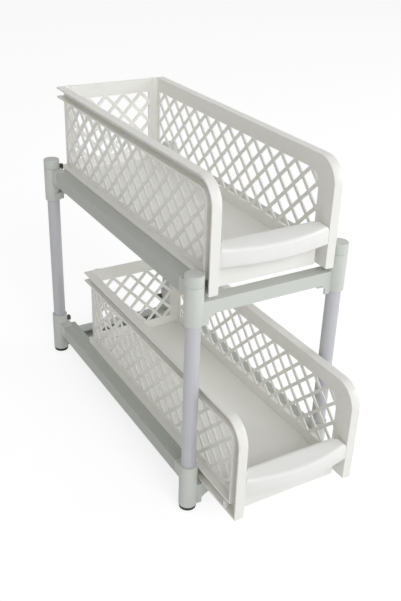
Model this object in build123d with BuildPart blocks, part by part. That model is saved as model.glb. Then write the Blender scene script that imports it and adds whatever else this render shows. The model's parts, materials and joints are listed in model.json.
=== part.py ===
# Under sink organizer: two baskets that slide in a frame of tubes, corners, rails and cross bars.
# Millimetres, +Z up. The front is at -Y. The origin is on the floor, under the middle of the whole
# object as it stands, with the lower basket pulled part of the way out.

import os
from math import hypot

from build123d import *

os.makedirs("parts", exist_ok=True)

# Driving sizes of the frame
post_spacing_width = 172.2  # post centre to post centre, left to right
post_spacing_depth = 373.0  # post centre to post centre, front to back
tier_spacing = 224.7  # lower tray to upper tray
tube_diameter = 15.9
tube_wall = 1.0

# Driving sizes of a basket
basket_height = 115.2
flange_to_post = 11.5  # outer edge of the baskets' flanges to the posts' centres, sideways
basket_front_past_post = 8.4  # front of the side flanges beyond the front posts' centres
basket_rear_gap = 1.4  # back face in front of the rear posts' centres
panel_wall = 1.5
floor_wall = 2.6
lower_pull_out = 68.0  # how far the lower basket stands out as the organizer is shown

# Clearances
fit_clearance = 0.1  # between fixed pieces that plug together
tube_clearance = 0.05  # on the radius, tube in socket and plug in tube
slide_clearance = 0.3  # between a basket and what it slides on or stops at
side_clearance = 0.7  # between a basket's flanges and the rails
overrun = 5.0  # how far a cutting body runs past what it cuts

# Feet and post caps
foot_diameter = 18.8
foot_height = 4.7
foot_spigot_diameter = 8.0
foot_spigot_length = 9.0
foot_edge = 0.8
cap_height = 11.7
cap_edge = 1.0
cap_plug_length = 12.0
cap_plug_wall = 1.4

# Corner sockets
socket_diameter = 20.0
socket_floor = 4.0
lower_collar_height = 10.3  # how far a lower socket stands above its rail
gusset_flat = 5.5  # flat foot of the gusset beside a socket
gusset_drop = 2.6  # gusset's foot below the bottom of the socket
gusset_radius = 4.2
rail_stub_setback = 4.6  # start of a corner's rail stub, inward of the post's centre
rail_seam_setback = 24.0  # seam between corner and rail, inward of the post's centre
rail_tenon_length = 10.0
bar_tenon_length = 17.0
hook_width = 5.2
hook_wall = 2.0
hook_length = 3.6  # how far the snap hook shows below the cross bar
hook_past_gusset = 1.3  # hook's middle beyond the end of the gusset's curve

# Heights in one tray, above the bottom of its sockets
bar_bottom_height = 8.7
bar_top_height = 23.2
rail_bottom_height = 25.6
rail_top_height = 42.3
basket_bottom_height = 30.1

# Side rails
rail_outer_past_post = 3.4  # outer face of the rail beyond the post's centre
rail_wall = 2.2
rail_web_wall = 2.0
rail_web_height = 9.7
tongue_thickness = 4.0
tongue_rise = 0.7  # tongue's top above the rail's top
tongue_reach = 5.4
tongue_end_setback = 15.0  # tongue's ends inward of the posts' centres

# Cross bars
bar_outer_past_post = 4.0  # outer face of the bar beyond the posts' centres
bar_depth = 15.5
bar_wall = 2.2
bar_rib_spacing = 27.0
bar_rib_count = 3
bar_rib_wall = 1.6

# Rear bumpers
bumper_height = 6.4
bumper_bottom_height = 39.0  # above the bottom of the sockets
bumper_depth = 5.0
bumper_overlap = 0.9  # how much of a basket flange's end the bumper meets
bumper_edge = 0.6

# Basket side panels
flange_reach = 8.9
flange_wall = 2.0
channel_width = 9.0  # clear space between the two flanges
bottom_channel_extra = 2.2  # how much wider the channel is that rides on the tongue
front_corner_radius = 27.0
lead_in_width = 3.6
lead_in_length = 9.0
floor_height = 4.6  # underside of the floor above the bottom of the lowest flange
bottom_edge_cut = 1.1
stop_peg_length = 4.0
stop_peg_width = 3.4
stop_peg_overlap = 1.0  # how far the peg reaches up in front of the tongue's end

# Lattice
lattice_pitch_long = 26.4
lattice_pitch_across = 25.0
lattice_pitch_high = 26.4
lattice_strip = 3.9
lattice_row_count = 7
side_first_column = 26.9  # a column of the top row behind the front flanges' face
back_first_column = 3.1  # a column of the back panel's top row beside its middle
window_top_margin = 17.4  # window's top edge, which cuts the top row in half, below the rim
window_bottom_margin = 20.2
window_front_margin = 25.0
window_rear_margin = 9.0
window_corner_radius = 15.8
back_window_margin = 10.9
smallest_hole_area = 6.0

# Corner between side panel and back panel
return_width = 7.4
return_radius = 3.1
lap_width = 4.0
lap_wall = 1.5

# Tabs that join the panels
tab_length = 14.0
tab_wall = 1.6
tab_end_margin = 34.0  # middle of the outermost tabs to the ends of the side panels
tab_count = 5
back_tab_spacing = 60.0
back_tab_count = 2
peg_diameter = 4.0

# Basket front wall and handle
front_wall_setback = 10.7  # face of the wall behind the front of the side flanges
front_wall_end_gap = 6.7
front_wall_foot_height = 2.9  # foot of the wall above the bottom of the lowest flange
floor_notch_length = 15.0
handle_top_drop = 65.0  # handle's top below the rim
handle_height = 21.5
handle_wall = 3.0
handle_end_setback = 0.3  # handle's ends behind the front of the side flanges
handle_bow = 8.1
handle_behind_wall = 3.0
handle_front_drop = 5.0  # how far the top slopes down from the wall to the middle of the bow
handle_edge_radius = 4.5
handle_end_radius = 9.0
handle_end_wall = 5.0

# Places worked out from the sizes above
half_width = post_spacing_width / 2
half_depth = post_spacing_depth / 2
front_reach = half_depth + basket_front_past_post + handle_bow - handle_end_setback + lower_pull_out
rear_reach = half_depth + socket_diameter / 2
frame_mid_y = (front_reach - rear_reach) / 2
post_front_y = frame_mid_y - half_depth
post_rear_y = frame_mid_y + half_depth
lower_tray_z = foot_height
upper_tray_z = lower_tray_z + tier_spacing
post_top_z = upper_tray_z + rail_top_height
socket_bore = tube_diameter / 2 + tube_clearance
tube_bore = tube_diameter / 2 - tube_wall
flange_outer = half_width - flange_to_post
panel_outer = flange_outer - flange_reach
inner_half = panel_outer - panel_wall
rail_outer = half_width + rail_outer_past_post
rail_web_inner = flange_outer + side_clearance
rail_web_outer = rail_web_inner + rail_web_wall
tongue_inner = rail_web_inner - tongue_reach
socket_inner = half_width - socket_diameter / 2
channel_inset = flange_wall + channel_width
lead_in_height = channel_inset + bottom_channel_extra + 2 * flange_wall
tongue_top_height = rail_top_height + tongue_rise
tongue_length = post_spacing_depth - 2 * tongue_end_setback
basket_length = post_spacing_depth + basket_front_past_post - basket_rear_gap
tab_spacing = (basket_length - 2 * tab_end_margin) / (tab_count - 1)
rail_stub_length = rail_seam_setback - rail_stub_setback
gusset_corner = socket_inner - gusset_flat
gusset_end = gusset_corner - gusset_radius
hook_x = gusset_end - hook_past_gusset


def mirrored(solid, side):
    """A piece modelled for the right side (+X), or its mirror image for the left."""
    return solid if side > 0 else mirror(solid, about=Plane.YZ)


def finish(solid, name):
    """Name a finished piece and write its file."""
    solid.label = name
    export_step(solid, f"parts/{name}.step")
    print(f"{name}: {len(solid.solids())} solid, {solid.volume:.0f} mm3")


# Posts: plain tubes that run from the floor of the lower socket to the top of the upper one
def make_post(post_x, post_y):
    bottom = lower_tray_z + socket_floor
    with BuildPart() as post:
        with BuildSketch(Plane.XY.offset(bottom)):
            with Locations((post_x, post_y)):
                Circle(tube_diameter / 2)
                Circle(tube_bore, mode=Mode.SUBTRACT)
        extrude(amount=post_top_z - bottom)
    return post.part


# Caps: a thick round head as wide as the socket, with a hollow plug down inside the tube
def make_cap(post_x, post_y):
    plug_radius = tube_bore - tube_clearance
    with BuildPart() as cap:
        with BuildSketch(Plane.XY.offset(post_top_z)):
            with Locations((post_x, post_y)):
                Circle(socket_diameter / 2)
        extrude(amount=cap_height)
        fillet(cap.edges().group_by(Axis.Z)[-1], cap_edge)
        with BuildSketch(Plane.XY.offset(post_top_z)):
            with Locations((post_x, post_y)):
                Circle(plug_radius)
                Circle(plug_radius - cap_plug_wall, mode=Mode.SUBTRACT)
        extrude(amount=-cap_plug_length)
    return cap.part


# Feet: black pads whose spigot plugs up through the floor of the lower socket
def make_foot(post_x, post_y):
    with BuildPart() as foot:
        with BuildSketch(Plane.XY):
            with Locations((post_x, post_y)):
                Circle(foot_diameter / 2)
        extrude(amount=foot_height)
        chamfer(foot.edges().group_by(Axis.Z)[0], foot_edge)
        with BuildSketch(Plane.XY.offset(foot_height)):
            with Locations((post_x, post_y)):
                Circle(foot_spigot_diameter / 2)
        extrude(amount=foot_spigot_length)
    return foot.part


def rail_outline(tray_z):
    """Section of a side rail: an upturned channel with a short inner web."""
    top = tray_z + rail_top_height
    bottom = tray_z + rail_bottom_height
    with BuildLine() as outline:
        Polyline(
            (rail_outer, bottom),
            (rail_outer, top),
            (rail_web_inner, top),
            (rail_web_inner, top - rail_web_height),
            (rail_web_outer, top - rail_web_height),
            (rail_web_outer, top - rail_wall),
            (rail_outer - rail_wall, top - rail_wall),
            (rail_outer - rail_wall, bottom),
            close=True,
        )
    return outline.line


# Corners: a socket round the post, a stub that carries on the rail's section, a tenon into the
# rail, a tenon into the cross bar, a snap hook and a gusset under the bar. end is -1 at the front
# and +1 at the rear.
def make_corner(tray_z, post_y, end, socket_top, closed_bottom):
    outer_y = post_y + end * bar_outer_past_post
    tenon_outer_y = outer_y - end * (bar_wall + fit_clearance)
    seam_y = post_y - end * rail_seam_setback
    stub_y = seam_y + end * rail_stub_length / 2
    gusset_top = tray_z + bar_bottom_height
    core_width = rail_outer - rail_wall - rail_web_outer
    core_x = rail_web_outer + core_width / 2
    core_z = tray_z + rail_bottom_height + rail_wall
    core_height = rail_top_height - rail_bottom_height - 2 * rail_wall
    bar_tenon_height = bar_top_height - bar_bottom_height - 2 * bar_wall - 2 * fit_clearance
    bar_tenon_x = half_width - tube_diameter / 2 - bar_tenon_length / 2
    bar_tenon_z = gusset_top + bar_wall + fit_clearance
    gusset_arc_z = gusset_top - gusset_radius
    bar_tenon_depth = bar_depth - bar_wall - fit_clearance - bar_wall
    with BuildPart() as corner:
        with BuildSketch(Plane.XY.offset(tray_z)):
            with Locations((half_width, post_y)):
                Circle(socket_diameter / 2)
        extrude(amount=socket_top - tray_z)
        with BuildSketch(Plane.XZ.offset(-stub_y - rail_stub_length / 2)):
            with BuildLine():
                add(rail_outline(tray_z))
            make_face()
        extrude(amount=rail_stub_length)
        with BuildSketch(Plane.XY.offset(core_z)):
            with Locations((core_x, stub_y)):
                Rectangle(core_width, rail_stub_length)
        extrude(amount=core_height)
        with BuildSketch(Plane.XY.offset(core_z)):
            with Locations((core_x, seam_y - end * rail_tenon_length / 2)):
                Rectangle(core_width - 2 * fit_clearance, rail_tenon_length)
        extrude(amount=core_height - fit_clearance)
        with BuildSketch(Plane.XY.offset(bar_tenon_z)):
            with Locations((bar_tenon_x, tenon_outer_y - end * bar_tenon_depth / 2)):
                Rectangle(bar_tenon_length, bar_tenon_depth)
        extrude(amount=bar_tenon_height)
        with BuildSketch(Plane.XZ.offset(-outer_y)):
            with BuildLine():
                Polyline(
                    (gusset_end, gusset_top),
                    (socket_inner + overrun, gusset_top),
                    (socket_inner + overrun, tray_z - gusset_drop),
                    (gusset_corner, tray_z - gusset_drop),
                    (gusset_corner, gusset_arc_z),
                )
                RadiusArc((gusset_corner, gusset_arc_z), (gusset_end, gusset_top), gusset_radius)
            make_face()
        extrude(amount=end * bar_wall)
        with BuildSketch(Plane.XY.offset(tray_z - overrun)):
            with Locations((half_width, post_y)):
                Circle(socket_diameter / 2)
        extrude(amount=overrun, mode=Mode.SUBTRACT)
        with BuildSketch(Plane.XY.offset(bar_tenon_z)):
            with Locations((hook_x, tenon_outer_y - end * hook_wall / 2)):
                Rectangle(hook_width, hook_wall)
        extrude(amount=gusset_top - bar_tenon_z - hook_length)
        bore_bottom = tray_z + socket_floor if closed_bottom else tray_z - overrun
        with BuildSketch(Plane.XY.offset(bore_bottom)):
            with Locations((half_width, post_y)):
                Circle(socket_bore)
        extrude(amount=socket_top + overrun - bore_bottom, mode=Mode.SUBTRACT)
        if closed_bottom:
            with BuildSketch(Plane.XY.offset(tray_z - overrun)):
                with Locations((half_width, post_y)):
                    Circle(foot_spigot_diameter / 2 + tube_clearance)
            extrude(amount=socket_floor + 2 * overrun, mode=Mode.SUBTRACT)
    return corner.part


# Side rails: an upturned channel between the corners, with a tongue along its inner side that the
# basket's lower channel rides on
def make_rail(tray_z):
    seam = rail_seam_setback + fit_clearance
    rail_length = post_spacing_depth - 2 * seam
    top = tray_z + rail_top_height
    tongue_top = tray_z + tongue_top_height
    with BuildPart() as rail:
        with BuildSketch(Plane.XZ.offset(seam - post_rear_y)):
            with BuildLine():
                add(rail_outline(tray_z))
            make_face()
        extrude(amount=rail_length)
        with BuildSketch(Plane.XZ.offset(-frame_mid_y - tongue_length / 2)):
            with BuildLine():
                Polyline(
                    (rail_web_outer, tongue_top - tongue_thickness),
                    (tongue_inner, tongue_top - tongue_thickness),
                    (tongue_inner, tongue_top),
                    (rail_web_inner - fit_clearance, tongue_top),
                    (rail_web_outer, top),
                    close=True,
                )
            make_face()
        extrude(amount=tongue_length)
        with BuildSketch(Plane.XY.offset(tray_z)):
            for end in (-1, 1):
                past_rail_y = frame_mid_y + end * (rail_length + tongue_length) / 2
                with Locations((rail_web_inner - fit_clearance + overrun / 2, past_rail_y)):
                    Rectangle(overrun, tongue_length)
        extrude(amount=tongue_top_height + overrun, mode=Mode.SUBTRACT)
    return rail.part


# Cross bars: a channel between the corners, open towards the inside of the frame, with ribs
def make_bar(tray_z, post_y, end):
    outer_y = post_y + end * bar_outer_past_post
    inner_y = outer_y - end * bar_depth
    web_y = outer_y - end * bar_wall
    top = tray_z + bar_top_height
    bottom = tray_z + bar_bottom_height
    hook_y = outer_y - end * (bar_wall + fit_clearance + hook_wall / 2)
    with BuildPart() as bar:
        with BuildSketch(Plane.YZ.offset(-half_width)):
            with BuildLine():
                Polyline(
                    (outer_y, bottom),
                    (outer_y, top),
                    (inner_y, top),
                    (inner_y, top - bar_wall),
                    (web_y, top - bar_wall),
                    (web_y, bottom + bar_wall),
                    (inner_y, bottom + bar_wall),
                    (inner_y, bottom),
                    close=True,
                )
            make_face()
        extrude(amount=post_spacing_width)
        with BuildSketch(Plane.XY.offset(bottom)):
            with Locations((0, (outer_y + inner_y) / 2)):
                with GridLocations(bar_rib_spacing, 0, bar_rib_count, 1):
                    Rectangle(bar_rib_wall, bar_depth)
        extrude(amount=top - bottom)
        with BuildSketch(Plane.XY.offset(bottom - overrun)):
            with Locations((hook_x, hook_y), (-hook_x, hook_y)):
                Rectangle(hook_width + 2 * fit_clearance, hook_wall + 2 * fit_clearance)
        extrude(amount=bar_wall + overrun, mode=Mode.SUBTRACT)
        with BuildSketch(Plane.XY.offset(bottom - overrun)):
            with Locations((half_width, post_y), (-half_width, post_y)):
                Circle(socket_diameter / 2 + fit_clearance)
        extrude(amount=top - bottom + 2 * overrun, mode=Mode.SUBTRACT)
    return bar.part


# Bumpers: rubber blocks on the rear sockets that the ends of a basket's flanges come up to
def make_bumper(tray_z):
    face_y = post_rear_y - basket_rear_gap + slide_clearance
    inner = flange_outer - lead_in_width - bumper_overlap
    with BuildPart() as bumper:
        with BuildSketch(Plane.XY.offset(tray_z + bumper_bottom_height)):
            with Locations(((inner + half_width) / 2, face_y + bumper_depth / 2)):
                Rectangle(half_width - inner, bumper_depth)
        extrude(amount=bumper_height)
        chamfer(bumper.faces().sort_by(Axis.X)[0].edges(), bumper_edge)
        with BuildSketch(Plane.XY.offset(tray_z)):
            with Locations((half_width, post_rear_y)):
                Circle(socket_diameter / 2 + fit_clearance)
        extrude(amount=bumper_bottom_height + bumper_height + overrun, mode=Mode.SUBTRACT)
    return bumper.part


# Basket: places of one basket, from its tray's height and how far it is pulled out
def basket_places(tray_z, pull_out):
    front_y = post_front_y - basket_front_past_post - pull_out
    bottom_z = tray_z + basket_bottom_height
    return front_y, front_y + basket_length, bottom_z, bottom_z + basket_height


def panel_outline(front_y, rear_y, bottom_z, top_z, inset, raise_low, past_rear):
    """Side panel's outline, drawn in by inset along the bottom, front and top."""
    radius = front_corner_radius - inset
    front = front_y + inset
    low = bottom_z + inset + raise_low
    high = top_z - inset
    rear = rear_y + past_rear
    with BuildLine() as outline:
        Line((rear, low), (front, low))
        Line((front, low), (front, high - radius))
        RadiusArc((front, high - radius), (front + radius, high), radius)
        Line((front + radius, high), (rear, high))
        Line((rear, high), (rear, low))
    return outline.line


def lattice_holes(centres, pitch, window):
    """The lattice's openings: diamonds between crossing strips, cut off at the window's edge."""
    half_long = pitch / 2
    half_high = lattice_pitch_high / 2
    strip_share = lattice_strip / 2 * hypot(half_long, half_high) / (half_long * half_high)
    long = half_long * (1 - strip_share)
    high = half_high * (1 - strip_share)
    with BuildSketch() as holes:
        with Locations(*centres):
            Polygon((long, 0), (0, high), (-long, 0), (0, -high), align=None)
        add(window, mode=Mode.INTERSECT)
    return [face for face in holes.sketch.faces() if face.area > smallest_hole_area]


def lattice_rows(first, pitch, row_from, row_to, window_top):
    """Centres of the diamonds: every other row is set half a pitch along."""
    centres = []
    start = first - int((first - row_from) / pitch + 1) * pitch
    steps = int((row_to - row_from) / pitch) + 3
    for row in range(lattice_row_count):
        shift = pitch / 2 * (row % 2)
        row_z = window_top - row * lattice_pitch_high / 2
        centres += [(start + shift + step * pitch, row_z) for step in range(steps)]
    return centres


# Side panels: a lattice wall with two flanges outside that run along the bottom, up the front and
# back along the top. The pair at the bottom forms the channel that rides on the rail's tongue.
def make_side_panel(tray_z, pull_out):
    front_y, rear_y, bottom_z, top_z = basket_places(tray_z, pull_out)
    places = (front_y, rear_y, bottom_z, top_z)
    window_front = front_y + window_front_margin
    window_rear = rear_y - window_rear_margin
    window_bottom = bottom_z + window_bottom_margin
    window_top = top_z - window_top_margin
    with BuildSketch() as window:
        with BuildLine():
            Line((window_rear, window_bottom), (window_front, window_bottom))
            Line((window_front, window_bottom), (window_front, window_top - window_corner_radius))
            RadiusArc(
                (window_front, window_top - window_corner_radius),
                (window_front + window_corner_radius, window_top),
                window_corner_radius,
            )
            Line((window_front + window_corner_radius, window_top), (window_rear, window_top))
            Line((window_rear, window_top), (window_rear, window_bottom))
        make_face()
    first = front_y + side_first_column
    centres = lattice_rows(first, lattice_pitch_long, window_front, window_rear, window_top)
    holes = lattice_holes(centres, lattice_pitch_long, window.sketch)
    peg_rear = frame_mid_y - tongue_length / 2 - slide_clearance - pull_out
    peg_top = tray_z + tongue_top_height - tongue_thickness + stop_peg_overlap
    floor_z = bottom_z + floor_height
    tab_z = floor_z + (floor_wall - tab_wall) / 2
    with BuildPart() as side_panel:
        with BuildSketch(Plane.YZ.offset(inner_half)):
            add(panel_outline(*places, 0, 0, 0))
            make_face()
        extrude(amount=panel_wall)
        for inset, raise_low in ((0, 0), (channel_inset, bottom_channel_extra)):
            with BuildSketch(Plane.YZ.offset(inner_half)):
                with BuildLine():
                    add(panel_outline(*places, inset, raise_low, 0))
                make_face()
                with BuildLine():
                    add(panel_outline(*places, inset + flange_wall, raise_low, overrun))
                make_face(mode=Mode.SUBTRACT)
            extrude(amount=panel_wall + flange_reach)
        with BuildSketch(Plane.YZ.offset(inner_half - overrun)):
            add(holes)
        extrude(amount=panel_wall + 2 * overrun, mode=Mode.SUBTRACT)
        with BuildSketch(Plane.XY.offset(bottom_z)):
            with BuildLine():
                Polyline(
                    (inner_half + panel_wall, rear_y - panel_wall),
                    (inner_half + panel_wall, rear_y),
                    (inner_half - return_width, rear_y),
                    (inner_half - return_width, rear_y - panel_wall),
                    (inner_half - return_radius, rear_y - panel_wall),
                )
                RadiusArc(
                    (inner_half - return_radius, rear_y - panel_wall),
                    (inner_half, rear_y - panel_wall - return_radius),
                    return_radius,
                )
                Polyline(
                    (inner_half, rear_y - panel_wall - return_radius),
                    (inner_half + panel_wall, rear_y - panel_wall - return_radius),
                    (inner_half + panel_wall, rear_y - panel_wall),
                )
            make_face()
        extrude(amount=basket_height)
        with BuildSketch(Plane.XY.offset(bottom_z + flange_wall)):
            with Locations((flange_outer - stop_peg_width / 2, peg_rear - stop_peg_length / 2)):
                Rectangle(stop_peg_width, stop_peg_length)
        extrude(amount=peg_top - bottom_z - flange_wall)
        with BuildSketch(Plane.XY.offset(bottom_z - overrun)):
            with BuildLine():
                Polyline(
                    (flange_outer + overrun, rear_y - lead_in_length),
                    (flange_outer, rear_y - lead_in_length),
                    (flange_outer - lead_in_width, rear_y),
                    (flange_outer - lead_in_width, rear_y + overrun),
                    (flange_outer + overrun, rear_y + overrun),
                    close=True,
                )
            make_face()
        extrude(amount=overrun + lead_in_height, mode=Mode.SUBTRACT)
        with BuildSketch(Plane.XZ.offset(-rear_y - overrun)):
            with BuildLine():
                Polyline(
                    (inner_half, bottom_z),
                    (inner_half, bottom_z + bottom_edge_cut),
                    (inner_half + bottom_edge_cut, bottom_z),
                    close=True,
                )
            make_face()
        extrude(amount=basket_length + 2 * overrun, mode=Mode.SUBTRACT)
        with BuildSketch(Plane.XY.offset(tab_z - fit_clearance)):
            with Locations((inner_half, (front_y + rear_y) / 2)):
                with GridLocations(0, tab_spacing, 1, tab_count):
                    Rectangle(4 * panel_wall, tab_length + 2 * fit_clearance)
        extrude(amount=tab_wall + 2 * fit_clearance, mode=Mode.SUBTRACT)
        handle_peg_z = top_z - handle_top_drop - handle_height / 2
        handle_peg_y = front_y + handle_end_setback + handle_wall + peg_diameter
        with BuildSketch(Plane.YZ.offset(inner_half - overrun)):
            with Locations((handle_peg_y, handle_peg_z)):
                Circle(peg_diameter / 2 + tube_clearance)
        extrude(amount=overrun + panel_wall / 2, mode=Mode.SUBTRACT)
    return side_panel.part


# Back panels: a lattice wall between the side panels' returns, with laps behind them
def make_back_panel(tray_z, pull_out):
    front_y, rear_y, bottom_z, top_z = basket_places(tray_z, pull_out)
    half = inner_half - return_width - fit_clearance
    window_half = inner_half - back_window_margin
    window_bottom = bottom_z + window_bottom_margin
    window_top = top_z - window_top_margin
    with BuildSketch() as window:
        with Locations((0, (window_bottom + window_top) / 2)):
            Rectangle(2 * window_half, window_top - window_bottom)
    first = back_first_column
    centres = lattice_rows(first, lattice_pitch_across, -window_half, window_half, window_top)
    holes = lattice_holes(centres, lattice_pitch_across, window.sketch)
    floor_z = bottom_z + floor_height
    tab_z = floor_z + (floor_wall - tab_wall) / 2
    with BuildPart() as back_panel:
        with BuildSketch(Plane.XZ.offset(-rear_y)):
            with Locations((0, (bottom_z + flange_wall + top_z) / 2)):
                Rectangle(2 * half, top_z - bottom_z - flange_wall)
        extrude(amount=panel_wall)
        with BuildSketch(Plane.XZ.offset(-rear_y)):
            add(holes)
        extrude(amount=panel_wall, mode=Mode.SUBTRACT)
        with BuildSketch(Plane.XY.offset(bottom_z + flange_wall)):
            for side in (-1, 1):
                with Locations((side * half, rear_y + fit_clearance + lap_wall / 2)):
                    Rectangle(2 * lap_width, lap_wall)
                with Locations((side * (half - lap_width / 2), rear_y)):
                    Rectangle(lap_width, 2 * fit_clearance)
        extrude(amount=top_z - bottom_z - flange_wall)
        with BuildSketch(Plane.XY.offset(tab_z - fit_clearance)):
            with Locations((0, rear_y)):
                with GridLocations(back_tab_spacing, 0, back_tab_count, 1):
                    Rectangle(tab_length + 2 * fit_clearance, 4 * panel_wall)
        extrude(amount=tab_wall + 2 * fit_clearance, mode=Mode.SUBTRACT)
    return back_panel.part


# Base: the floor with the low front wall, and tabs that snap into the side and back panels
def make_base(tray_z, pull_out):
    front_y, rear_y, bottom_z, top_z = basket_places(tray_z, pull_out)
    floor_z = bottom_z + floor_height
    tab_z = floor_z + (floor_wall - tab_wall) / 2
    wall_y = front_y + front_wall_setback
    wall_half = inner_half - front_wall_end_gap
    floor_rear = rear_y - panel_wall - fit_clearance
    corner_cut = return_radius + fit_clearance
    side = inner_half - fit_clearance
    wall_foot = bottom_z + front_wall_foot_height
    wall_top = top_z - handle_top_drop - handle_wall - fit_clearance
    with BuildPart() as base:
        with BuildSketch(Plane.XY.offset(floor_z)):
            with BuildLine():
                Polyline(
                    (wall_half, wall_y),
                    (wall_half, wall_y + floor_notch_length),
                    (side, wall_y + floor_notch_length),
                    (side, floor_rear - corner_cut),
                    (side - corner_cut, floor_rear),
                    (corner_cut - side, floor_rear),
                    (-side, floor_rear - corner_cut),
                    (-side, wall_y + floor_notch_length),
                    (-wall_half, wall_y + floor_notch_length),
                    (-wall_half, wall_y),
                    close=True,
                )
            make_face()
        extrude(amount=floor_wall)
        with BuildSketch(Plane.XY.offset(wall_foot)):
            with Locations((0, wall_y + panel_wall / 2)):
                Rectangle(2 * wall_half, panel_wall)
        extrude(amount=wall_top - wall_foot)
        with BuildSketch(Plane.XY.offset(tab_z)):
            with Locations((0, (front_y + rear_y) / 2)):
                with GridLocations(0, tab_spacing, 1, tab_count):
                    Rectangle(2 * panel_outer, tab_length)
            with Locations((0, floor_rear)):
                with GridLocations(back_tab_spacing, 0, back_tab_count, 1):
                    Rectangle(tab_length, 2 * panel_wall)
        extrude(amount=tab_wall)
    return base.part


def slope_cutter(slope_y, top, run, drop):
    """The space above a top that slopes down towards the front, from slope_y at the height top."""
    far_run = run + overrun
    far_drop = drop * far_run / run
    reach = inner_half + overrun
    with BuildPart() as cutter:
        with BuildSketch(Plane.YZ.offset(-reach)):
            with BuildLine():
                Polyline(
                    (slope_y, top),
                    (slope_y, top + overrun),
                    (slope_y - far_run, top + overrun),
                    (slope_y - far_run, top - far_drop),
                    close=True,
                )
            make_face()
        extrude(amount=2 * reach)
    return cutter.part


# Handles: a bowed hood across the front, with a top that slopes forward and rounded ends, hollow
# below for the fingers and pegged into the side panels
def make_handle(tray_z, pull_out):
    front_y, rear_y, bottom_z, top_z = basket_places(tray_z, pull_out)
    half = inner_half - fit_clearance
    inner = half - handle_end_wall
    top = top_z - handle_top_drop
    low = top - handle_height
    ceiling = top - handle_wall
    end_y = front_y + handle_end_setback
    lip_y = end_y + handle_wall
    peg_y = lip_y + peg_diameter
    slope_y = front_y + front_wall_setback
    back_y = slope_y + handle_behind_wall
    wall_face = slope_y - fit_clearance
    slope_run = slope_y - end_y + handle_bow
    with BuildPart() as hollow:
        with BuildSketch(Plane.XY.offset(low - overrun)):
            with BuildLine():
                ThreePointArc((-inner, lip_y), (0, lip_y - handle_bow), (inner, lip_y))
                hollow_y = back_y + overrun
                Polyline((inner, lip_y), (inner, hollow_y), (-inner, hollow_y), (-inner, lip_y))
            make_face()
        extrude(amount=ceiling - low + overrun)
        add(slope_cutter(slope_y, ceiling, slope_run, handle_front_drop), mode=Mode.SUBTRACT)
    with BuildPart() as handle:
        with BuildSketch(Plane.XY.offset(low)):
            with BuildLine():
                ThreePointArc((-half, end_y), (0, end_y - handle_bow), (half, end_y))
                Polyline((half, end_y), (half, back_y), (-half, back_y), (-half, end_y))
            make_face()
        extrude(amount=handle_height)
        add(slope_cutter(slope_y, top, slope_run, handle_front_drop), mode=Mode.SUBTRACT)
        bowed = handle.faces().sort_by(Axis.Y)[0].edges().sort_by(Axis.Z)[-1]
        fillet(bowed, handle_edge_radius)
        with BuildSketch(Plane.XZ.offset(-back_y - overrun)):
            for side in (-1, 1):
                with Locations((side * half, top)):
                    Rectangle(2 * handle_end_radius, 2 * handle_end_radius)
                with Locations((side * (half - handle_end_radius), top - handle_end_radius)):
                    Circle(handle_end_radius, mode=Mode.SUBTRACT)
        extrude(amount=handle_behind_wall + slope_run + 2 * overrun, mode=Mode.SUBTRACT)
        add(hollow.part, mode=Mode.SUBTRACT)
        with BuildSketch(Plane.XY.offset(low - overrun)):
            with Locations((0, wall_face + half)):
                Rectangle(4 * half, 2 * half)
        extrude(amount=ceiling - low + overrun, mode=Mode.SUBTRACT)
        with BuildSketch(Plane.XY.offset(low - overrun)):
            for side in (-1, 1):
                with Locations((side * (2 * half - handle_end_radius), wall_face + half)):
                    Rectangle(2 * half, 2 * half)
        extrude(amount=handle_height + 2 * overrun, mode=Mode.SUBTRACT)
        for side in (-1, 1):
            with BuildSketch(Plane.YZ.offset(side * (half - handle_wall))):
                with Locations((peg_y, top - handle_height / 2)):
                    Circle(peg_diameter / 2)
            extrude(amount=side * (handle_wall + panel_wall / 2))
    return handle.part


# Make every piece and write it
sides = (("left", -1), ("right", 1))
ends = (("front", post_front_y, -1), ("rear", post_rear_y, 1))
trays = (("lower", lower_tray_z, lower_pull_out), ("upper", upper_tray_z, 0))

for end_name, post_y, end in ends:
    for side_name, side in sides:
        place = f"{end_name}_{side_name}"
        finish(make_post(side * half_width, post_y), f"post_{place}")
        finish(make_cap(side * half_width, post_y), f"cap_{place}")
        finish(make_foot(side * half_width, post_y), f"foot_{place}")

for tray_name, tray_z, pull_out in trays:
    is_lower = tray_name == "lower"
    collar = lower_collar_height if is_lower else 0
    socket_top = tray_z + rail_top_height + collar
    rail = make_rail(tray_z)
    bumper = make_bumper(tray_z)
    side_panel = make_side_panel(tray_z, pull_out)
    for end_name, post_y, end in ends:
        corner = make_corner(tray_z, post_y, end, socket_top, is_lower)
        for side_name, side in sides:
            finish(mirrored(corner, side), f"{tray_name}_corner_{end_name}_{side_name}")
        finish(make_bar(tray_z, post_y, end), f"{tray_name}_bar_{end_name}")
    for side_name, side in sides:
        finish(mirrored(rail, side), f"{tray_name}_rail_{side_name}")
        finish(mirrored(bumper, side), f"{tray_name}_bumper_{side_name}")
        finish(mirrored(side_panel, side), f"{tray_name}_basket_side_{side_name}")
    finish(make_back_panel(tray_z, pull_out), f"{tray_name}_basket_back")
    finish(make_base(tray_z, pull_out), f"{tray_name}_basket_base")
    finish(make_handle(tray_z, pull_out), f"{tray_name}_basket_handle")
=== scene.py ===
# %% [markdown]
# # Under sink organizer
# Two white baskets slide along the side rails of a pale grey frame on four steel posts. The packed
# CAD model gives every piece its shape and place. This lesson gives the pieces their finishes and
# their softened edges, and then sets up the floor, the lights and the camera.

import json
import math

import bpy
from mathutils import Matrix, Vector

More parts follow.
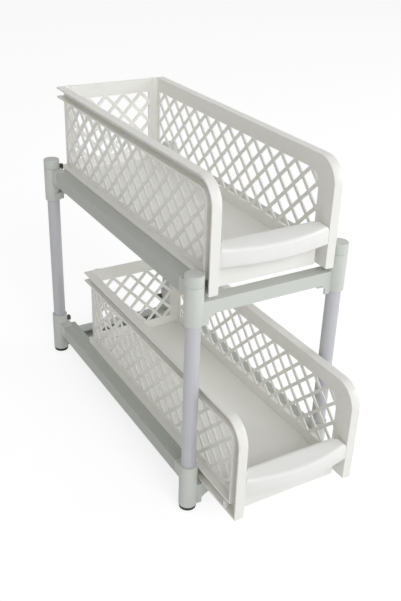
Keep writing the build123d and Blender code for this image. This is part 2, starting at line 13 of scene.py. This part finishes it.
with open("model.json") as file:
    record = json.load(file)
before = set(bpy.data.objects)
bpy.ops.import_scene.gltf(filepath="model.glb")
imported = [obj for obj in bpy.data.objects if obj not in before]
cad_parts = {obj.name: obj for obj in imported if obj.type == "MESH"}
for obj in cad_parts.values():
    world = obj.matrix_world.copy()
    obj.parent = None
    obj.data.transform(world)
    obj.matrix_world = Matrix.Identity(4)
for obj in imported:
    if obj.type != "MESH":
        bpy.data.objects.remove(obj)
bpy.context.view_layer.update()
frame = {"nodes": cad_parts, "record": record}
nodes = frame["nodes"]
MM = 0.001
print("pieces in the frame:", len(nodes))

# %% [markdown]
# ## Colours
# Colours are picked on a screen as sRGB hex values, while Blender's shaders work with linear light.
# One function does that step for every colour, so a value can be compared with a photograph.

# %% A hex colour as linear light


def linear(hex_value):
    """The linear, opaque colour of an sRGB hex value such as '#E8E8E4', by the sRGB curve."""
    channels = [int(hex_value[at : at + 2], 16) / 255 for at in (1, 3, 5)]
    light = [c / 12.92 if c <= 0.04045 else ((c + 0.055) / 1.055) ** 2.4 for c in channels]
    return (*light, 1.0)


print("middle grey #808080 in linear light:", [round(c, 3) for c in linear("#808080")[:3]])

# %% [markdown]
# ## Building materials
# A material is a small network of nodes. It could be drawn by hand in the shader editor, but in a
# script one short function that adds a node, sets it and links it keeps each recipe readable. A
# Mix node has sockets of the same name for every data type, so its colour sockets are picked by
# their number.

# %% Start a material and add a node
MIX_FACTOR = 0
MIX_A = 6
MIX_B = 7
MIX_RESULT = 2


def new_material(name):
    """An empty material and its network."""
    material = bpy.data.materials.new(name)
    material.use_nodes = True
    material.node_tree.nodes.clear()
    return material, material.node_tree


def add(tree, kind, inputs=None, **settings):
    """Add one node. inputs gives sockets a value or another node's output."""
    made = tree.nodes.new(kind)
    for name, value in settings.items():
        setattr(made, name, value)
    for name, value in (inputs or {}).items():
        if isinstance(value, bpy.types.NodeSocket):
            tree.links.new(value, made.inputs[name])
        else:
            made.inputs[name].default_value = value
    return made


print("helpers:", new_material.__name__, "and", add.__name__)

# %% [markdown]
# ## White polypropylene
# The baskets are injection moulded polypropylene, the usual plastic of household crates. It is
# semi-gloss, a little translucent, and its skin has the faint orange-peel ripple of the mould.
# A plain white Principled shader would look like paper, so the colour drifts slightly where the
# plastic flowed, and two bumps, a soft ripple and a fine grain, break up the highlights.

# %% Polypropylene, moulded
FLOW_SIZE = 70 * MM  # drift of the colour along the plastic's flow
RIPPLE_SIZE = 9 * MM  # one swell of the orange-peel ripple
GRAIN_SIZE = 1.2 * MM  # about 0.2 mm on the real skin, drawn coarser so that it shows
GRAIN_DEPTH = 0.02 * MM
SHEEN_DRIFT = 0.04  # how far the roughness strays to either side
SCATTER_DEPTH = 2.0 * MM
SCATTER_REACH = (1.0, 0.9, 0.78)  # red light goes deepest, blue light least


def moulded_polypropylene(name, light_hex, shade_hex, roughness, ripple_depth):
    material, tree = new_material(name)
    place = add(tree, "ShaderNodeTexCoord").outputs["Object"]
    flow = add(tree, "ShaderNodeTexNoise", {"Vector": place, "Scale": 1 / FLOW_SIZE, "Detail": 3.0})
    colour = add(
        tree,
        "ShaderNodeMix",
        {MIX_FACTOR: flow.outputs["Fac"], MIX_A: linear(shade_hex), MIX_B: linear(light_hex)},
        data_type="RGBA",
    )
    sheen = add(
        tree,
        "ShaderNodeMapRange",
        {
            "Value": flow.outputs["Fac"],
            "To Min": roughness - SHEEN_DRIFT,
            "To Max": roughness + SHEEN_DRIFT,
        },
    )
    ripple = add(
        tree,
        "ShaderNodeTexNoise",
        {"Vector": place, "Scale": 1 / RIPPLE_SIZE, "Detail": 1.0},
    )
    grain = add(
        tree,
        "ShaderNodeTexNoise",
        {"Vector": place, "Scale": 1 / GRAIN_SIZE, "Detail": 2.0},
    )
    rippled = add(
        tree,
        "ShaderNodeBump",
        {"Height": ripple.outputs["Fac"], "Strength": 0.5, "Distance": ripple_depth},
    )
    grained = add(
        tree,
        "ShaderNodeBump",
        {
            "Height": grain.outputs["Fac"],
            "Normal": rippled.outputs["Normal"],
            "Strength": 0.35,
            "Distance": GRAIN_DEPTH,
        },
    )
    shader = add(
        tree,
        "ShaderNodeBsdfPrincipled",
        {
            "Base Color": colour.outputs[MIX_RESULT],
            "Roughness": sheen.outputs["Result"],
            "Normal": grained.outputs["Normal"],
            "IOR": 1.49,
            "Subsurface Weight": 0.2,
            "Subsurface Radius": SCATTER_REACH,
            "Subsurface Scale": SCATTER_DEPTH,
        },
    )
    add(tree, "ShaderNodeOutputMaterial", {"Surface": shader.outputs["BSDF"]})
    return material


panel_white = moulded_polypropylene(
    "polypropylene_panels",
    light_hex="#F3F2ED",
    shade_hex="#ECEBE5",
    roughness=0.38,
    ripple_depth=0.08 * MM,
)
handle_white = moulded_polypropylene(
    "polypropylene_handle",
    light_hex="#F2F2EF",
    shade_hex="#ECECE7",
    roughness=0.30,
    ripple_depth=0.04 * MM,
)
print("made", panel_white.name, "and", handle_white.name)

# %% [markdown]
# ## Pale grey ABS
# The trays and the caps are moulded in a stiffer plastic, most likely ABS, with a fine
# spark-eroded texture. It scatters light more than the baskets do, so its highlights are broad and
# dull, and the grey leans a little to green. The side rails get a darker copy of the same grey,
# which is painted shade for their outer faces in the shade. One noise could drive everything, but
# the texture is far finer than the drift of the colour, so each has its own.

# %% ABS, spark-eroded mould
ERODED_SIZE = 0.9 * MM  # about 0.1 mm on the real skin, drawn coarser so that it shows
ERODED_DEPTH = 0.03 * MM
ABS_SMOOTHEST = 0.46
ABS_ROUGHEST = 0.58


def moulded_abs(name, light_hex, shade_hex):
    material, tree = new_material(name)
    place = add(tree, "ShaderNodeTexCoord").outputs["Object"]
    flow = add(tree, "ShaderNodeTexNoise", {"Vector": place, "Scale": 1 / FLOW_SIZE, "Detail": 4.0})
    eroded = add(
        tree,
        "ShaderNodeTexNoise",
        {"Vector": place, "Scale": 1 / ERODED_SIZE, "Detail": 3.0},
    )
    colour = add(
        tree,
        "ShaderNodeMix",
        {MIX_FACTOR: flow.outputs["Fac"], MIX_A: linear(shade_hex), MIX_B: linear(light_hex)},
        data_type="RGBA",
    )
    rough = add(
        tree,
        "ShaderNodeMapRange",
        {"Value": eroded.outputs["Fac"], "To Min": ABS_SMOOTHEST, "To Max": ABS_ROUGHEST},
    )
    bump = add(
        tree,
        "ShaderNodeBump",
        {"Height": eroded.outputs["Fac"], "Strength": 0.5, "Distance": ERODED_DEPTH},
    )
    shader = add(
        tree,
        "ShaderNodeBsdfPrincipled",
        {
            "Base Color": colour.outputs[MIX_RESULT],
            "Roughness": rough.outputs["Result"],
            "Normal": bump.outputs["Normal"],
            "IOR": 1.53,
        },
    )
    add(tree, "ShaderNodeOutputMaterial", {"Surface": shader.outputs["BSDF"]})
    return material


tray_grey = moulded_abs("abs_pale_grey", light_hex="#D3D6D0", shade_hex="#CBCEC7")
# painted shade: the side rails get a darker copy of the tray grey for their shaded outer faces
rail_painted_shade_grey = moulded_abs("abs_rail_painted_shade_grey", light_hex="#BEC1BB", shade_hex="#B6B9B2")
print("made", tray_grey.name, "and", rail_painted_shade_grey.name)

# %% [markdown]
# ## Lacquered steel tube
# The posts are thin steel tube with a silver-grey lacquer. Drawing the tube leaves faint lines along
# it, so the noise that drives colour and roughness is stretched along the post's length. The lacquer
# hides most of the metal, so the shader is only slightly metallic, as for a metallic paint. Bare
# polished metal would mirror the white studio, which the posts in the photograph don't do.

# %% Steel tube, drawn and lacquered
LINE_SIZE = 1.1 * MM  # real lines are a few tenths of a mm at most, drawn coarser to show
LINE_STRETCH = 0.02  # how much slower the lines change along the tube
LINE_DEPTH = 0.02 * MM
STEEL_SMOOTHEST = 0.42
STEEL_ROUGHEST = 0.54


def lacquered_steel(name, light_hex, shade_hex):
    material, tree = new_material(name)
    place = add(tree, "ShaderNodeTexCoord").outputs["Object"]
    stretched = add(
        tree,
        "ShaderNodeMapping",
        {"Vector": place, "Scale": (1.0, 1.0, LINE_STRETCH)},
    )
    lines = add(
        tree,
        "ShaderNodeTexNoise",
        {"Vector": stretched.outputs["Vector"], "Scale": 1 / LINE_SIZE, "Detail": 3.0},
    )
    colour = add(
        tree,
        "ShaderNodeMix",
        {MIX_FACTOR: lines.outputs["Fac"], MIX_A: linear(shade_hex), MIX_B: linear(light_hex)},
        data_type="RGBA",
    )
    rough = add(
        tree,
        "ShaderNodeMapRange",
        {"Value": lines.outputs["Fac"], "To Min": STEEL_SMOOTHEST, "To Max": STEEL_ROUGHEST},
    )
    bump = add(
        tree,
        "ShaderNodeBump",
        {"Height": lines.outputs["Fac"], "Strength": 0.25, "Distance": LINE_DEPTH},
    )
    shader = add(
        tree,
        "ShaderNodeBsdfPrincipled",
        {
            "Base Color": colour.outputs[MIX_RESULT],
            "Metallic": 0.15,
            "Roughness": rough.outputs["Result"],
            "Normal": bump.outputs["Normal"],
        },
    )
    add(tree, "ShaderNodeOutputMaterial", {"Surface": shader.outputs["BSDF"]})
    return material


post_steel = lacquered_steel("steel_silver_lacquer", light_hex="#CACACE", shade_hex="#BFBFC3")
print("made", post_steel.name)

# %% [markdown]
# ## Rubber
# The feet and the rear stops are soft rubber. Rubber takes up dust, so it is never fully black, and
# its skin is pitted and dull. The stops are a greyer rubber than the feet. A noise would give soft
# hills, so the pits come from a cell pattern, in which each cell dips to its own middle.

# %% Rubber, moulded
PIT_SIZE = 1.4 * MM  # the real pits are finer, drawn coarser so that they show
PIT_DEPTH = 0.05 * MM


def moulded_rubber(name, light_hex, shade_hex):
    material, tree = new_material(name)
    place = add(tree, "ShaderNodeTexCoord").outputs["Object"]
    pits = add(tree, "ShaderNodeTexVoronoi", {"Vector": place, "Scale": 1 / PIT_SIZE})
    dust = add(
        tree,
        "ShaderNodeTexNoise",
        {"Vector": place, "Scale": 1 / RIPPLE_SIZE, "Detail": 5.0},
    )
    colour = add(
        tree,
        "ShaderNodeMix",
        {MIX_FACTOR: dust.outputs["Fac"], MIX_A: linear(shade_hex), MIX_B: linear(light_hex)},
        data_type="RGBA",
    )
    bump = add(
        tree,
        "ShaderNodeBump",
        {"Height": pits.outputs["Distance"], "Strength": 0.4, "Distance": PIT_DEPTH},
    )
    shader = add(
        tree,
        "ShaderNodeBsdfPrincipled",
        {
            "Base Color": colour.outputs[MIX_RESULT],
            "Normal": bump.outputs["Normal"],
            "Roughness": 0.72,
            "IOR": 1.52,
        },
    )
    add(tree, "ShaderNodeOutputMaterial", {"Surface": shader.outputs["BSDF"]})
    return material


foot_rubber = moulded_rubber("rubber_black", light_hex="#3A3936", shade_hex="#262522")
stop_rubber = moulded_rubber("rubber_grey", light_hex="#5C5B57", shade_hex="#484744")
print("made", foot_rubber.name, "and", stop_rubber.name)

# %% [markdown]
# ## Which finish goes where
# The record that comes with the frame already says what each piece is made of, so the finishes are
# handed out from its slots and no long list of names has to be kept here. A few kinds of piece have
# a finish of their own: the glossier handles, the side rails, whose darker grey is painted shade,
# and the greyer stops.

# %% Hand out the finishes
FINISHES = {
    "white_plastic": panel_white,
    "frame_plastic": tray_grey,
    "steel_tube": post_steel,
    "black_rubber": foot_rubber,
}
OWN_FINISHES = {"_handle": handle_white, "_rail_": rail_painted_shade_grey, "_bumper_": stop_rubber}

for subpart in frame["record"]["subparts"]:
    name = subpart["node"]
    finish = FINISHES[subpart["material_slot"]]
    for part, own_finish in OWN_FINISHES.items():
        if part in name:
            finish = own_finish
    mesh = nodes[name].data
    mesh.materials.clear()
    mesh.materials.append(finish)
print("pieces with a finish:", sum(1 for node in nodes.values() if node.data.materials))

# %% [markdown]
# ## Softened edges
# No moulding has a knife edge: the mould's corners are radiused, and those small rounds catch the
# light and make a piece look real. The CAD solids have sharp edges where the radius is under a
# millimetre. A Bevel modifier rounds them without touching the mesh. A Weld comes first, because the
# imported faces don't share their points, and a flat Decimate clears the triangles of flat faces.

# %% Round the edges
EDGE_RADIUS = {"handle": 1.0, "side_left": 0.6, "side_right": 0.6, "back": 0.5, "base": 0.6}  # mm
FRAME_EDGE_RADIUS = 0.5  # mm
WELD_DISTANCE = 0.002 * MM
FLAT_ANGLE = math.radians(0.6)
SHARP_ANGLE = math.radians(32)


def soften(node, radius):
    """Join a node's faces and round its sharp edges with modifiers."""
    weld = node.modifiers.new("join_faces", "WELD")
    weld.merge_threshold = WELD_DISTANCE
    flat = node.modifiers.new("clear_flat_faces", "DECIMATE")
    flat.decimate_type = "DISSOLVE"
    flat.angle_limit = FLAT_ANGLE
    bevel = node.modifiers.new("round_edges", "BEVEL")
    bevel.width = radius
    bevel.segments = 2
    bevel.limit_method = "ANGLE"
    bevel.angle_limit = SHARP_ANGLE
    bevel.use_clamp_overlap = True
    bevel.harden_normals = True


for name, node in nodes.items():
    ending = name.split("basket_")[-1]
    soften(node, EDGE_RADIUS.get(ending, FRAME_EDGE_RADIUS) * MM)
print("pieces with softened edges:", len(nodes))

# %% [markdown]
# ## Floor
# The photograph has a plain white ground. A backdrop that curves up behind the object would do, but
# it suits one view only, so a large plane takes the object's soft shadow. Seen by the camera and in
# reflections it also glows, so that it reads as white with only a faint shadow. For all other light
# it stays a plain pale surface, so apart from reflections the glow adds no light.

# %% White floor
FLOOR_HALF = 15.0
GLOW_SHARE = 0.6  # of what the camera sees on the floor, the rest is light that falls on it
GLOW_STRENGTH = 1.3


def seen_rays(tree):
    """1 for rays that show a surface to the eye: from the camera, reflected or let through."""
    path = add(tree, "ShaderNodeLightPath")
    seen = path.outputs["Is Camera Ray"]
    for kind in ("Is Glossy Ray", "Is Transmission Ray"):
        either = {0: seen, 1: path.outputs[kind]}
        seen = add(tree, "ShaderNodeMath", either, operation="MAXIMUM").outputs[0]
    return seen


def pale_floor():
    material, tree = new_material("paper_white")
    place = add(tree, "ShaderNodeTexCoord").outputs["Object"]
    fibres = add(
        tree,
        "ShaderNodeTexNoise",
        {"Vector": place, "Scale": 1 / FLOW_SIZE, "Detail": 2.0},
    )
    colour = add(
        tree,
        "ShaderNodeMix",
        {MIX_FACTOR: fibres.outputs["Fac"], MIX_A: linear("#F0F0F0"), MIX_B: linear("#F4F4F4")},
        data_type="RGBA",
    )
    paper = add(tree, "ShaderNodeBsdfDiffuse", {"Color": colour.outputs[MIX_RESULT]})
    light = add(
        tree,
        "ShaderNodeEmission",
        {"Color": linear("#FFFFFF"), "Strength": GLOW_STRENGTH},
    )
    share = add(tree, "ShaderNodeMath", {0: seen_rays(tree), 1: GLOW_SHARE}, operation="MULTIPLY")
    shown = add(
        tree,
        "ShaderNodeMixShader",
        {0: share.outputs[0], 1: paper.outputs[0], 2: light.outputs[0]},
    )
    add(tree, "ShaderNodeOutputMaterial", {"Surface": shown.outputs[0]})
    return material


corners = [(x * FLOOR_HALF, y * FLOOR_HALF, 0) for x, y in ((-1, -1), (1, -1), (1, 1), (-1, 1))]
floor_mesh = bpy.data.meshes.new("floor")
floor_mesh.from_pydata(corners, [], [(0, 1, 2, 3)])
floor_mesh.materials.append(pale_floor())
floor = bpy.data.objects.new("floor", floor_mesh)
bpy.context.scene.collection.objects.link(floor)
print("floor", 2 * FLOOR_HALF, "m across")

# %% [markdown]
# ## Light
# In the photograph the fronts are bright, the right sides of the posts are brighter than their left
# sides, and the left side of the object lies in a soft, even shade. A broad lamp in front gives the
# first, one at the right the second, and a weak one at the left lifts the shade. The sky does the
# rest: it is brighter near the horizon than overhead, as in a studio with white walls. Behind the
# object and in reflections a plain white backdrop takes the sky's place.

# %% Lamps and sky
TARGET = Vector((0, 0, 0.19))
HORIZON_STRENGTH = 0.50
ZENITH_STRENGTH = 0.38


def lamp(name, place, size, watts, hex_value):
    """A round area lamp that points at the object."""
    data = bpy.data.lights.new(name, "AREA")
    data.shape = "DISK"
    data.size = size
    data.energy = watts
    data.color = linear(hex_value)[:3]
    made = bpy.data.objects.new(name, data)
    made.location = place
    made.rotation_mode = "QUATERNION"
    made.rotation_quaternion = (TARGET - Vector(place)).to_track_quat("-Z", "Y")
    bpy.context.scene.collection.objects.link(made)


lamp("front", place=(-0.24, -3.32, 2.22), size=2.4, watts=61, hex_value="#FAFCFF")
lamp("right", place=(2.92, -1.40, 1.35), size=1.5, watts=34, hex_value="#FAFBFF")
lamp("left", place=(-3.2, -0.7, 0.2), size=2.4, watts=7, hex_value="#FFFBF4")

world = bpy.data.worlds.new("studio")
bpy.context.scene.world = world
world.use_nodes = True
sky = world.node_tree
sky.nodes.clear()
direction = add(sky, "ShaderNodeTexCoord").outputs["Generated"]
height = add(sky, "ShaderNodeSeparateXYZ", {"Vector": direction}).outputs["Z"]
falling = add(
    sky,
    "ShaderNodeMapRange",
    {"Value": height, "To Min": HORIZON_STRENGTH, "To Max": ZENITH_STRENGTH},
)
fill = add(
    sky,
    "ShaderNodeBackground",
    {"Color": linear("#F8F8F8"), "Strength": falling.outputs["Result"]},
)
backdrop = add(sky, "ShaderNodeBackground", {"Color": linear("#FFFFFF"), "Strength": 1.0})
shown = add(
    sky,
    "ShaderNodeMixShader",
    {0: seen_rays(sky), 1: fill.outputs[0], 2: backdrop.outputs[0]},
)
add(sky, "ShaderNodeOutputWorld", {"Surface": shown.outputs[0]})

# %% [markdown]
# ## Camera
# The camera stands at the place that was worked out from the photograph: in front and to the left,
# looking down at the organizer, and tilted by two degrees. It could be aimed by hand, but three
# angles and a place keep it exactly where the measured lines of the photograph put it.

# %% Camera at the photograph's place
CAMERA_PLACE = Vector((-0.4350, -0.7446, 0.6209))
CAMERA_AZIMUTH = math.radians(-30.91)
CAMERA_ELEVATION = math.radians(27.92)
CAMERA_ROLL = math.radians(2.07)
LENS = 49.02
SENSOR_WIDTH = 36

back = Vector(
    (
        math.sin(CAMERA_AZIMUTH) * math.cos(CAMERA_ELEVATION),
        -math.cos(CAMERA_AZIMUTH) * math.cos(CAMERA_ELEVATION),
        math.sin(CAMERA_ELEVATION),
    )
)
right = Vector((0, 0, 1)).cross(back).normalized()
up = back.cross(right)
camera_x = math.cos(CAMERA_ROLL) * right + math.sin(CAMERA_ROLL) * up
camera_y = -math.sin(CAMERA_ROLL) * right + math.cos(CAMERA_ROLL) * up

camera_data = bpy.data.cameras.new("camera")
camera_data.sensor_width = SENSOR_WIDTH
camera_data.lens = LENS
camera = bpy.data.objects.new("camera", camera_data)
turn = Matrix((camera_x, camera_y, back)).transposed()
camera.matrix_world = Matrix.Translation(CAMERA_PLACE) @ turn.to_4x4()
bpy.context.scene.collection.objects.link(camera)
bpy.context.scene.camera = camera
print("camera", [round(c, 3) for c in camera.location], "lens", LENS, "mm")

# %% [markdown]
# ## Finish
# The Standard view shows each colour about as it is written.

# %% View
bpy.context.scene.view_settings.view_transform = "Standard"
